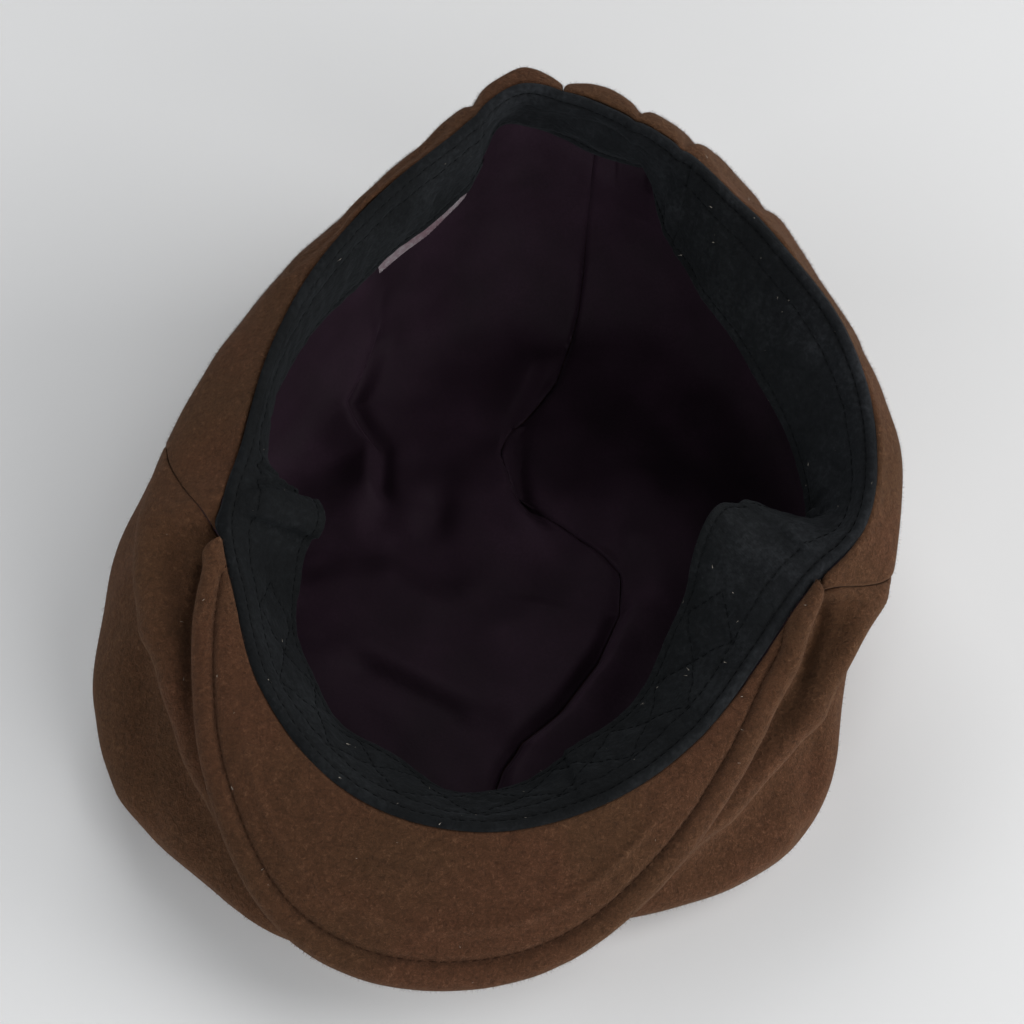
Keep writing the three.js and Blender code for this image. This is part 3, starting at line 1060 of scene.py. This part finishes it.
# %% Band cloth
def band_look(wire):
    place = wire.place()
    worn = place.noise(0.009, 3.0)
    slubs = place.noise(0.0007, 2.0, 0.6)
    values = {"Vector": place, "Scale": 600.0, "Distortion": 1.5}
    twill = place.node("ShaderNodeTexWave", {"bands_direction": "DIAGONAL"}, values)
    colour = (worn * 0.55 + slubs * 0.45).ramp(
        (0.34, (0.0022, 0.0027, 0.0032)),
        (0.52, (0.0044, 0.0052, 0.0060)),
        (0.68, (0.0105, 0.0120, 0.0135)),
    )
    # The right side and the back are painted lighter: partly a little dust, and partly painted light that
    # brightens these shaded parts of the band.
    dust_and_painted_light = place.part("X").step(0.055, 0.088) + place.part("Y").step(0.075, 0.105)
    dust_and_painted_light_tint = dust_and_painted_light.clamped().mix((1, 1, 1, 1), (1.7, 1.65, 1.7, 1))
    # The base colour takes painted shade from the groove attribute, along the band's stitched grooves.
    return {
        "Base Color": colour.times(dust_and_painted_light_tint).with_painted_groove_shade(0.7),
        "Roughness": 0.85,
        "Specular IOR Level": 0.12,
        "Sheen Weight": 0.03,
        "Sheen Roughness": 0.5,
        "Sheen Tint": (0.75, 0.85, 0.95, 1),
        "Normal": bumps(wire, (slubs, 0.0004), (twill, 0.00002)),
    }


BAND_CLOTH = cloth_material("band_twill", band_look)
RIM_ROLL = 1.8
RIM_REACH = 0.9
ELASTIC_TUCK = 1.3
RIM_GROOVE = 2.5
RIM_STITCH = 8.0
FREE_STITCH = 3.0
GIRTH_RADIUS = 88
TEMPLE_FOLDS = (289, 360 + 76)
QUILT = {"from": -66, "to": 66, "half": 22.0, "near_rim": 8.5, "near_free": 4.5}
# Where one layer of the band lies over the next: bearing, how far it stands up, which way the raised
# side lies and how far it reaches. The first is the left temple's fold, with three small pleats behind
# it, the next is the right temple's fold and the last is the join.
BAND_STEPS = named(
    "bearing height way reach",
    [
        (287.4, 2.2, -1, 9),
        (283.6, 1.5, 1, 3),
        (280.4, 1.7, -1, 3),
        (276.5, 1.5, -1, 4),
        (77.5, 1.6, 1, 6),
        (17.5, 0.9, 1, 60),
    ],
)


# %% Band and elastic
def band_plain(bearing, v):
    edge = rim(bearing)
    inward = along(BAND_HANG, "inward", bearing) * v + 1.2 * np.sin(math.pi * v)
    height = along(CUTS, "edgeZ", bearing) - along(BAND_HANG, "drop", bearing) * v
    sweep = np.degrees(along(BAND_HANG, "sweep", bearing) * v / edge)
    return at_bearing(bearing + sweep, edge - inward, height)


def band_grid(first, last, across, down):
    """Bearings along a length of the band and shares of its width, close together at its edges."""
    run = math.radians(last - first) * GIRTH_RADIUS
    bearings = first + places(run, across) / run * (last - first)
    line = band_plain(bearings[None, :], np.linspace(0, 1, 12)[:, None])
    width = np.linalg.norm(np.diff(line, axis=0), axis=-1).sum(0)
    from_rim = np.array([places(w, down) for w in width]).T
    v = from_rim / width
    plain = band_plain(bearings[None, :], v)
    from_end = np.minimum(bearings - first, last - bearings) / (last - first) * run
    return bearings, plain, from_rim, width, from_end


def stitched(distance, line, depth, width=0.8):
    """A shallow groove at a distance from an edge."""
    return -depth * hill(distance - line, width)


def quilting(bearings, width, shift):
    """How far from the rim a zigzag of stitches runs, at each bearing."""
    run = np.radians(bearings) * GIRTH_RADIUS / QUILT["half"] + shift
    to_and_fro = np.abs(run % 2 - 1)
    first = QUILT["near_rim"]
    return first + to_and_fro * (width - QUILT["near_free"] - first)


def layered(bearings):
    """How far the band stands up where one layer lies over the next."""
    relief = 0 * bearings
    for bearing, height, way, reach in zip(*BAND_STEPS.values()):
        past = ((bearings - bearing + 180) % 360 - 180) * way * math.radians(GIRTH_RADIUS)
        relief += height * smooth(past, -0.5, 0.5) * hill(np.maximum(past, 0), reach)
    return relief


def band_length(name, first, last, across, down, gathered):
    bearings, plain, from_rim, width, from_end = band_grid(first, last, across, down)
    out = normals(plain, False)
    turned = np.clip(from_rim / RIM_ROLL, 0, 1)
    corners = sum(hill(bearings - temple, 2.2) for temple in TEMPLE_FOLDS)
    leans_out = 1 - smooth(along(BAND_HANG, "inward", bearings), 0, 12)
    reach = RIM_REACH + 2.0 * corners + 0.1 * leans_out
    offset = (BAND + reach) * np.sqrt(1 - (1 - turned) ** 2) - reach
    inner = plain - out * offset[..., None]
    run = np.radians(bearings)[None, :] * GIRTH_RADIUS
    relief = stitched(from_rim, RIM_GROOVE, 0.45, 0.6) + stitched(from_rim, RIM_STITCH, 0.3)
    relief += stitched(width - from_rim, FREE_STITCH, 0.28)
    # shade is painted shade along the stitched grooves, which darkens the band's colour there.
    shade = -stitched(from_rim, RIM_GROOVE, 0.8, 0.5) - stitched(from_rim, RIM_STITCH, 0.25, 0.5)
    shade -= stitched(width - from_rim, FREE_STITCH, 0.3, 0.5)
    middle = smooth(from_rim, 3, 10) * smooth(width - from_rim, 1.5, 6)
    relief *= smooth(from_end, 0, 3)[None, :]
    if gathered:
        middle = middle * smooth(from_end, 1, 10)[None, :]
        relief += 0.8 * middle * np.sin(run / 2.4 + 1.5 * waves(inner, 30, seed=41))
        relief += 1.2 * waves(inner, 20, seed=42) * middle
    else:
        pucker = np.sin(run * 0.9 + 2.5 * waves(inner, 24, seed=43))
        relief += 0.12 * pucker * middle + 0.7 * waves(inner, 28, seed=44) * smooth(from_rim, 2, 14)
        relief += 0.22 * waves(inner, 9, seed=45) * middle + 0.10 * waves(inner, 4.5, seed=46)
        signed = (bearings + 180) % 360 - 180
        quilted = smooth(signed, QUILT["from"], QUILT["from"] + 3)
        quilted = quilted * smooth(-signed, -QUILT["to"], 3 - QUILT["to"])
        for shift in (0.0, 1.0):
            zigzag = quilting(signed, width, shift)
            relief += quilted * stitched(from_rim, zigzag, 0.3, 1.0)
            # Painted shade along the zigzag's groove.
            shade -= quilted * stitched(from_rim, zigzag, 0.12, 0.6)
        relief += layered(bearings) * smooth(from_rim, 1, 10)
    half = BAND / 2
    free_roll = rolled(width - from_rim, half)
    relief *= smooth(from_rim, 0, 2)
    tucked = ELASTIC_TUCK * (1 - smooth(from_end[None, :], 0, 4)) * smooth(from_rim, 0, 4) if gathered else 0
    face = inner - out * (relief - free_roll - tucked)[..., None]
    behind = np.maximum(offset + reach - 2 * free_roll, 0.1)
    cloth(name, face, BAND, BAND_CLOTH, facing=-1, back_rise=BAND - behind, shade=np.clip(shade, 0, 1))
    return face, from_rim, width, bearings


band_end = BAND_GAP / 2
band = band_length("sweatband_strip", ELASTIC[1] + band_end, ELASTIC[0] + 360 - band_end, 860, 48, False)
elastic = band_length("elastic_strip", ELASTIC[0] - 1.5, ELASTIC[1] + 1.5, 90, 40, True)
print("the band is", round(float(band[2].min()), 1), "to", round(float(band[2].max()), 1), "mm wide")

# %% [markdown]
# ## The label
#
# A small pale woven label is sewn behind the band's free edge, left of the back. Only a sliver shows
# below the band. It stays blank.


# %% Label
def label_look(wire):
    place = wire.place()
    weave = place.noise(0.0005, 2.0, 0.6)
    soft = place.noise(0.006, 2.0)
    colour = (weave * 0.4 + soft * 0.6).ramp((0.38, (0.115, 0.070, 0.085)), (0.60, (0.20, 0.178, 0.195)))
    return {"Base Color": colour, "Roughness": 0.75, "Normal": bumps(wire, (weave, 0.0001))}


LABEL_CLOTH = cloth_material("label_tape", label_look)
LABEL_SPOT = {"from": 198.5, "to": 217.5, "above": 7, "below": 6.5, "lean": 3, "thickness": 0.6}


def label():
    spot = LABEL_SPOT
    across, down = 60, 24
    bearings = spot["from"] + (spot["to"] - spot["from"]) * np.arange(across + 1)[None, :] / across
    v = np.arange(down + 1)[:, None] / down
    whole = spot["above"] + spot["below"]
    clear = 1.2 + 2 * BAND_GAP + spot["lean"] * spot["above"] / whole
    free = along(CUTS, "edgeZ", bearings) - along(BAND_HANG, "drop", bearings)
    radius = along(CUTS, "edgeR", bearings) - along(BAND_HANG, "inward", bearings) + clear
    whole = whole - spot["below"] * 0.4 * (1 - smooth(bearings, spot["from"], spot["from"] + 9))
    plain = at_bearing(bearings + 0 * v, radius - spot["lean"] * v, free + spot["above"] - v * whole)
    edge = np.minimum(v, 1 - v) * whole
    side = np.minimum(bearings - spot["from"], spot["to"] - bearings) * 1.5
    face = plain - normals(plain, False) * (0.2 * waves(plain, 14, seed=51))[..., None]
    half = spot["thickness"] / 2
    rise = rolled(np.minimum(edge, side), half)
    face += normals(plain, False) * rise[..., None]
    return cloth("label_tag", face, spot["thickness"], LABEL_CLOTH, facing=-1, back_rise=2 * rise)


label()
print("the label is", LABEL_SPOT["above"] + LABEL_SPOT["below"], "mm high and blank")

# %% [markdown]
# ## Stitches
#
# The peak is stitched once along its edge. The band has two rows at the rim, one at its free edge and a
# zigzag that holds its stiffening in front. Each stitch is a short bead of thread, half sunk in its
# groove. Geometry Nodes sets a bead at every step along a line, so one small tree serves all rows.
# Modelling the thread as one long cord would cost far more faces for something half a millimetre wide.


# %% A tree that sets beads along lines
def socket(tree, name, kind, in_out="INPUT"):
    return tree.interface.new_socket(name=name, in_out=in_out, socket_type=kind)


def new_tree(name, *numbers):
    """A geometry tree with a geometry input, a material input and numbers as named inputs."""
    tree = bpy.data.node_groups.new(name, "GeometryNodeTree")
    socket(tree, "Geometry", "NodeSocketGeometry")
    socket(tree, "Material", "NodeSocketMaterial")
    for number in numbers:
        socket(tree, number, "NodeSocketInt" if number in ("Seed", "Sides") else "NodeSocketFloat")
    socket(tree, "Geometry", "NodeSocketGeometry", "OUTPUT")
    inside = tree.nodes.new("NodeGroupInput")
    given = {name: Wire(tree, inside.outputs[name]) for name in ("Geometry", "Material", *numbers)}
    return tree, Wire(tree), given


def finish_tree(wire, shape, material):
    """Ends a tree: the copies become one mesh with one material."""
    real = wire.node("GeometryNodeRealizeInstances", {}, {"Geometry": shape})
    painted = wire.node("GeometryNodeSetMaterial", {}, {"Geometry": real, "Material": material})
    end = wire.tree.nodes.new("NodeGroupOutput")
    wire.tree.links.new(painted.socket, end.inputs["Geometry"])


def grown(name, mesh, tree, values):
    """Runs a tree on a mesh with the given input values and keeps the result as a plain piece."""
    source = put_in(name + "_source", mesh)
    modifier = source.modifiers.new("grow", "NODES")
    modifier.node_group = tree
    for item in tree.interface.items_tree:
        if item.in_out == "INPUT" and item.name in values:
            modifier[item.identifier] = values[item.name]
    ready = source.evaluated_get(bpy.context.evaluated_depsgraph_get())
    plain = bpy.data.meshes.new_from_object(ready)
    bpy.data.objects.remove(source)
    made = put_in(name, plain)
    made.data.name = name
    pieces[name] = made
    return made


def stitch_tree():
    tree, wire, given = new_tree("stitches", "Step", "Length", "Width")
    line = wire.node("GeometryNodeMeshToCurve", {}, {"Mesh": given["Geometry"]})
    values = {"Curve": line, "Length": given["Step"]}
    steps = wire.node("GeometryNodeResampleCurve", {"mode": "LENGTH"}, values)
    bead = wire.node("GeometryNodeMeshIcoSphere", {}, {"Radius": 0.5, "Subdivisions": 1})
    soft = wire.node("GeometryNodeSetShadeSmooth", {}, {"Geometry": bead})
    way = wire.node("GeometryNodeInputTangent")
    turn = wire.node("FunctionNodeAlignRotationToVector", {"axis": "X"}, {"Vector": way})
    values = {"X": given["Length"], "Y": given["Width"], "Z": given["Width"]}
    size = wire.node("ShaderNodeCombineXYZ", {}, values)
    values = {"Points": steps, "Instance": soft, "Rotation": turn, "Scale": size}
    finish_tree(wire, wire.node("GeometryNodeInstanceOnPoints", {}, values), given["Material"])
    return tree


STITCHES = stitch_tree()


def stitches(name, lines, material, step, length, width):
    """Beads along lines, which are arrays of points in the cap's own millimetres."""
    points, edges = [], []
    for line in lines:
        start = len(points)
        points += ((line + SHIFT) * MM).tolist()
        edges += [(start + k, start + k + 1) for k in range(len(line) - 1)]
    mesh = bpy.data.meshes.new(name)
    mesh.from_pydata(points, edges, [])
    values = {"Material": material, "Step": step * MM, "Length": length * MM, "Width": width * MM}
    return grown(name, mesh, STITCHES, values)


# %% Rows of stitches
def row_at(surface, distances, wanted, lift, facing):
    """The line on a grid where each column's distance is the wanted one, lifted off the surface."""
    out = normals(surface, False) * facing
    line = []
    for k in range(surface.shape[1]):
        order = np.argsort(distances[:, k])
        along_column = distances[order, k]
        target = wanted[k] if np.ndim(wanted) else wanted
        spot = [np.interp(target, along_column, surface[order, k, axis]) for axis in range(3)]
        away = [np.interp(target, along_column, out[order, k, axis]) for axis in range(3)]
        line.append(np.array(spot) + lift * np.array(away))
    return np.array(line)


def thread(name, dark, light):
    """A dull twisted thread whose colour goes from dark to light."""

    def look(wire):
        colour = wire.place().noise(0.0003, 1.0).ramp((0.3, dark), (0.7, light))
        return {"Base Color": colour, "Roughness": 0.9, "Specular IOR Level": 0.08}

    return cloth_material(name, look)


BROWN_THREAD = thread("brown_thread", (0.022, 0.010, 0.005), (0.045, 0.020, 0.011))
BLACK_THREAD = thread("black_thread", (0.0030, 0.0035, 0.0041), (0.0062, 0.0070, 0.0080))
peak_row = row_at(peak_surface, peak_from_edge, STITCH_INSET, 0.05, 1)[6:-6]
stitches("peak_stitches", [peak_row], BROWN_THREAD, 2.7, 2.2, 0.42)

band_face, band_from_rim, band_width, band_bearings = band
signed = (band_bearings + 180) % 360 - 180
rows = [row_at(band_face, band_from_rim, RIM_GROOVE, 0.0, -1)]
rows.append(row_at(band_face, band_from_rim, RIM_STITCH, 0.05, -1))
rows.append(row_at(band_face, band_width - band_from_rim, FREE_STITCH, 0.05, -1))
front = np.where((signed > QUILT["from"] + 2) & (signed < QUILT["to"] - 2))[0]
left, right = front[front > len(signed) // 2], front[front < len(signed) // 2]
for shift in (0.0, 1.0):
    quilt_row = row_at(band_face, band_from_rim, quilting(signed, band_width, shift), 0.05, -1)
    rows += [quilt_row[part] for part in (left, right)]
stitches("band_stitches", rows, BLACK_THREAD, 2.6, 2.1, 0.34)
elastic_face, elastic_from_rim, elastic_width, _ = elastic
rows = [row_at(elastic_face, elastic_from_rim, RIM_GROOVE, 0.0, -1)[8:-8]]
rows.append(row_at(elastic_face, elastic_width - elastic_from_rim, FREE_STITCH, 0.05, -1)[8:-8])
stitches("elastic_stitches", rows, BLACK_THREAD, 2.2, 1.8, 0.34)
print({name: len(piece.data.polygons) for name, piece in pieces.items() if "stitches" in name})

# %% [markdown]
# ## Nap
#
# Melton's nap is a coat of short wool ends that lean every way. It shows as a soft, rough outline and
# as fine flecks. Each end is a thin cone of three faces, scattered over the side that shows. Particle
# hair would look alike but isn't a mesh that can be exported.


# %% Nap
def nap_tree():
    tree, wire, given = new_tree("nap", "Density", "Length", "Width", "Upright", "Seed")
    values = {"Mesh": given["Geometry"], "Density": given["Density"], "Seed": given["Seed"]}
    points = wire.node("GeometryNodeDistributePointsOnFaces", {}, values)
    normal = Wire(tree, points.socket.node.outputs["Normal"])
    values = {"Radius Top": 0.0, "Radius Bottom": given["Width"], "Depth": given["Length"], "Vertices": 3}
    cone = wire.node("GeometryNodeMeshCone", {"fill_type": "NONE"}, values)
    soft = wire.node("GeometryNodeSetShadeSmooth", {}, {"Geometry": cone})
    values = {"Min": (-1, -1, -1), "Max": (1, 1, 1), "Seed": given["Seed"]}
    lean = wire.node("FunctionNodeRandomValue", {"data_type": "FLOAT_VECTOR"}, values)
    values = {0: normal, "Scale": given["Upright"]}
    upright = wire.node("ShaderNodeVectorMath", {"operation": "SCALE"}, values)
    way = wire.node("ShaderNodeVectorMath", {"operation": "ADD"}, {0: upright, 1: lean})
    turn = wire.node("FunctionNodeAlignRotationToVector", {"axis": "Z"}, {"Vector": way})
    size = wire.node("FunctionNodeRandomValue", {}, {2: 0.4, 3: 1.3, "Seed": given["Seed"] + 1}, out=1)
    values = {"Points": points, "Instance": soft, "Rotation": turn, "Scale": size}
    finish_tree(wire, wire.node("GeometryNodeInstanceOnPoints", {}, values), given["Material"])
    return tree


NAP = nap_tree()
NAP_HAIR = {"length": 0.95, "width": 0.026, "upright": 0.8}
NAP_COUNTS = {"top_panel": 52000, "side_right": 22000, "side_left": 24000, "peak_cover": 30000}


def nap_look(wire):
    place = wire.place()
    clumps = place.noise(0.0016, 2.0, 0.6)
    colour = clumps.ramp(
        (0.35, (0.050, 0.0215, 0.0105)),
        (0.60, (0.085, 0.039, 0.0205)),
        (0.75, (0.150, 0.080, 0.047)),
    )
    return {"Base Color": colour, "Roughness": 0.8, "Specular IOR Level": 0.2}


NAP_WOOL = cloth_material("wool_nap", nap_look)


def nap(name, piece, count, length, width, upright, seed, material=NAP_WOOL):
    """Short wool ends, or specks of lint, on the side of a piece that shows."""
    points, faces = fronts[piece]
    mesh = bpy.data.meshes.new(name)
    mesh.from_pydata(((points + SHIFT) * MM).tolist(), [], faces)
    area = sum(face.area for face in mesh.polygons)
    values = {"Material": material, "Density": count / area, "Length": length * MM, "Width": width * MM}
    values.update({"Upright": upright, "Seed": seed})
    return grown(name, mesh, NAP, values)


for seed, (piece, count) in enumerate(NAP_COUNTS.items(), 61):
    nap(piece + "_nap", piece, count, seed=seed, **NAP_HAIR)
print({name: len(made.data.polygons) for name, made in pieces.items() if "nap" in name})

# %% [markdown]
# ## Lint
#
# A worn cap carries a few pale specks of fluff. The tree that grows the nap can scatter them too, with
# hairs that are few, thick and nearly flat on the cloth. Where they lie is left to a fixed seed.


# %% Lint
def lint_look(wire):
    return {"Base Color": (0.42, 0.38, 0.33, 1), "Roughness": 0.9, "Specular IOR Level": 0.1}


LINT_FLUFF = cloth_material("lint_fluff", lint_look)
LINT_SPECK = {"length": 1.1, "width": 0.09, "upright": 0.15}
LINT_COUNTS = {"top_panel": 90, "side_left": 20, "side_right": 20, "peak_cover": 30, "sweatband_strip": 60}
for seed, (piece, count) in enumerate(LINT_COUNTS.items(), 81):
    nap(piece + "_lint", piece, count, seed=seed, material=LINT_FLUFF, **LINT_SPECK)
print(sum(LINT_COUNTS.values()), "specks of lint")

# %% [markdown]
# ## The floor
#
# The cap lies on a large plain sheet, which carries its shadow. The sheet is a fifth of a millimetre
# below the ground, so that no two faces lie in one plane. It is staging and no part of the cap.


# %% Floor
def floor_look(wire):
    return {"Base Color": (0.80, 0.81, 0.82, 1), "Roughness": 0.9, "Specular IOR Level": 0.1}


FLOOR_HALF = 3.0
FLOOR_HEIGHT = -0.0002
floor_mesh = bpy.data.meshes.new("floor")
signs = [(-1, -1), (1, -1), (1, 1), (-1, 1)]
corners = [(x * FLOOR_HALF, y * FLOOR_HALF, FLOOR_HEIGHT) for x, y in signs]
floor_mesh.from_pydata(corners, [], [(0, 1, 2, 3)])
floor_mesh.materials.append(cloth_material("floor_paper", floor_look))
floor = put_in("floor", floor_mesh)
print("the floor is plain")

# %% [markdown]
# ## What each piece is
#
# Every piece rides on the cap's one body and stands for the plain solid of its node.

# %% Attaching the pieces to the body
NODES = {
    "top_panel": ("crown_top", "wool"),
    "side_right": ("side_panel_right", "wool"),
    "side_left": ("side_panel_left", "wool"),
    "peak_cover": ("peak", "wool"),
    "lining_right_half": ("lining_right", "lining"),
    "lining_left_half": ("lining_left", "lining"),
    "sweatband_strip": ("sweatband", "band"),
    "elastic_strip": ("elastic_band", "band"),
    "label_tag": ("label", "label"),
}
EXTRAS = {"peak_stitches": "wool", "band_stitches": "band", "elastic_stitches": "band"}
EXTRAS.update({piece + "_nap": "wool" for piece in NAP_COUNTS})
EXTRAS.update({piece + "_lint": "wool" for piece in LINT_COUNTS})
EXTRAS["sweatband_strip_lint"] = "band"
for name, (node, slot) in NODES.items():
    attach(pieces[name], "root")
    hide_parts(node)
for name, slot in EXTRAS.items():
    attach(pieces[name], "root")
